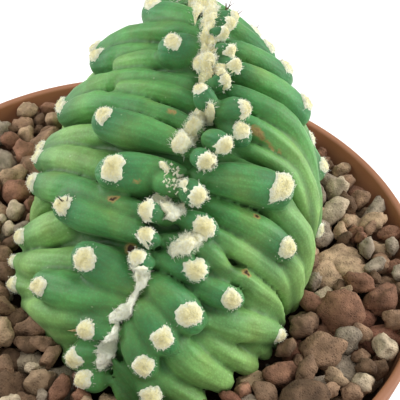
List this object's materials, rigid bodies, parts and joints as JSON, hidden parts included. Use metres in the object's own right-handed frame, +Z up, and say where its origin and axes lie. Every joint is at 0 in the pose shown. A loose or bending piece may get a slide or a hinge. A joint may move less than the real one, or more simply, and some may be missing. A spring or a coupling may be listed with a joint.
{
  "type": "potted crested cactus",
  "caption": "Crested cactus with a fan-shaped body of woolly tubercles, rooted in a round tapered pot dressed with gravel.",
  "frame": {"origin": "middle of the pot's flat underside, on the surface it stands on", "axes": "+Z up along the pot's axis; the crest runs along Y, from its low front end at -Y to its back end at +Y; +X to the right seen from the front"},
  "size_m": [0.13, 0.13, 0.1607],
  "materials": {
    "pot_plastic": "matte terracotta-coloured moulded plastic",
    "potting_mix": "dark crumbly potting mix",
    "gravel": "dry brown volcanic gravel",
    "cactus_flesh": "waxy green skin",
    "areole_wool": "cream felted wool"
  },
  "bodies": {
    "root": {"pot": "pot_plastic", "potting_mix": "potting_mix", "gravel_dressing": "gravel", "cactus_stem": "cactus_flesh", "crest_wool": "areole_wool"}
  },
  "joints": []
}
